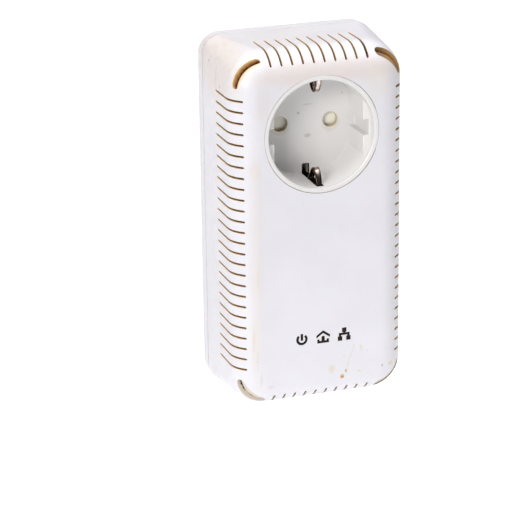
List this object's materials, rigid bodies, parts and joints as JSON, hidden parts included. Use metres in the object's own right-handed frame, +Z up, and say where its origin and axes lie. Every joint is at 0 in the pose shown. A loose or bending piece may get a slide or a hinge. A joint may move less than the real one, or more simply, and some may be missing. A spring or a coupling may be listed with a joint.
{
  "type": "powerline adapter",
  "caption": "Pass-through powerline network adapter: tall white vented case with an earthed round socket in front, a matching plug behind and a network jack below.",
  "frame": {"origin": "centre of the bounding box in X and Y, at the flat base of the case", "axes": "+X to the right seen from the front, +Y to the rear and the wall, +Z up along the case"},
  "size_m": [0.065, 0.078, 0.1324],
  "materials": {
    "case_white": "satin off-white moulding",
    "socket_white": "smooth white socket moulding",
    "shutter_cream": "cream moulding",
    "inner_plastic": "natural heat-resistant moulding",
    "black_plastic": "black moulded package",
    "contact_brass": "plain brass strip",
    "plated_metal": "nickel plated",
    "steel": "zinc plated steel",
    "board_green": "green solder resist",
    "dark_lens": "dark when unlit",
    "led_body": "clear package",
    "blank_label": "blank rating label",
    "ferrite": "sintered ferrite",
    "winding_copper": "enamelled copper wire",
    "yellow_film": "yellow capacitor box and tape",
    "blue_disc": "epoxy-dipped disc",
    "aluminium": "extruded and cut",
    "brown_wire": "brown insulation",
    "blue_wire": "blue insulation",
    "fuse_ceramic": "white ceramic tube"
  },
  "bodies": {
    "case": {"bridge_rectifier": "black_plastic", "bulk_capacitor": "black_plastic", "case_screw_1": "steel", "case_screw_2": "steel", "case_screw_3": "steel", "case_screw_4": "steel", "choke_core": "ferrite", "choke_winding_left": "winding_copper", "choke_winding_right": "winding_copper", "contact_carrier": "inner_plastic", "coupling_transformer": "black_plastic", "crystal": "steel", "earth_strap": "contact_brass", "ethernet_chip": "black_plastic", "ethernet_transformer": "black_plastic", "front_cover": "case_white", "fuse": "fuse_ceramic", "heatsink": "aluminium", "home_led": "led_body", "home_light_guide": "dark_lens", "jack_contacts": "contact_brass", "jack_housing": "black_plastic", "jack_shield": "steel", "live_contact": "contact_brass", "live_pin": "plated_metal", "live_wire": "brown_wire", "main_board": "board_green", "memory_chip": "black_plastic", "network_led": "led_body", "network_light_guide": "dark_lens", "neutral_contact": "contact_brass", "neutral_pin": "plated_metal", "neutral_wire": "blue_wire", "optocoupler": "black_plastic", "output_capacitor": "black_plastic", "pairing_switch": "black_plastic", "plug_earth_contact_bottom": "plated_metal", "plug_earth_contact_top": "plated_metal", "power_led": "led_body", "power_light_guide": "dark_lens", "powerline_chip": "black_plastic", "rating_label": "blank_label", "rear_shell": "case_white", "reset_switch": "black_plastic", "shutter_spring": "steel", "socket_insert": "socket_white", "switching_chip": "black_plastic", "transformer_bobbin": "yellow_film", "transformer_core": "ferrite", "varistor": "blue_disc", "x2_capacitor": "yellow_film"},
    "shutter": {"shutter": "shutter_cream"},
    "earth_clip_top": {"earth_clip_top": "plated_metal"},
    "earth_clip_bottom": {"earth_clip_bottom": "plated_metal"},
    "pairing_button": {"pairing_button": "case_white", "pairing_plunger": "inner_plastic"},
    "reset_plunger": {"reset_plunger": "inner_plastic"}
  },
  "joints": [
    {"name": "shutter_turn", "type": "hinge", "parent": "case", "child": "shutter", "pos_m": [0, -0.0184, 0.102], "axis": [0, 1, 0], "range_deg": [0, 40], "stiffness_Nm_per_rad": 0.004},
    {"name": "earth_clip_top_flex", "type": "hinge", "parent": "case", "child": "earth_clip_top", "pos_m": [0, -0.0015, 0.1229], "axis": [-1, 0, 0], "range_deg": [0, 3.5], "stiffness_Nm_per_rad": 2},
    {"name": "earth_clip_bottom_flex", "type": "hinge", "parent": "case", "child": "earth_clip_bottom", "pos_m": [0, -0.0015, 0.0811], "axis": [1, 0, 0], "range_deg": [0, 3.5], "stiffness_Nm_per_rad": 2},
    {"name": "pairing_button_press", "type": "slide", "parent": "case", "child": "pairing_button", "axis": [0, 0, 1], "range_m": [0, 0.0005], "stiffness_N_per_m": 2000},
    {"name": "reset_press", "type": "slide", "parent": "case", "child": "reset_plunger", "axis": [0, 0, 1], "range_m": [0, 0.00025], "stiffness_N_per_m": 3000}
  ]
}
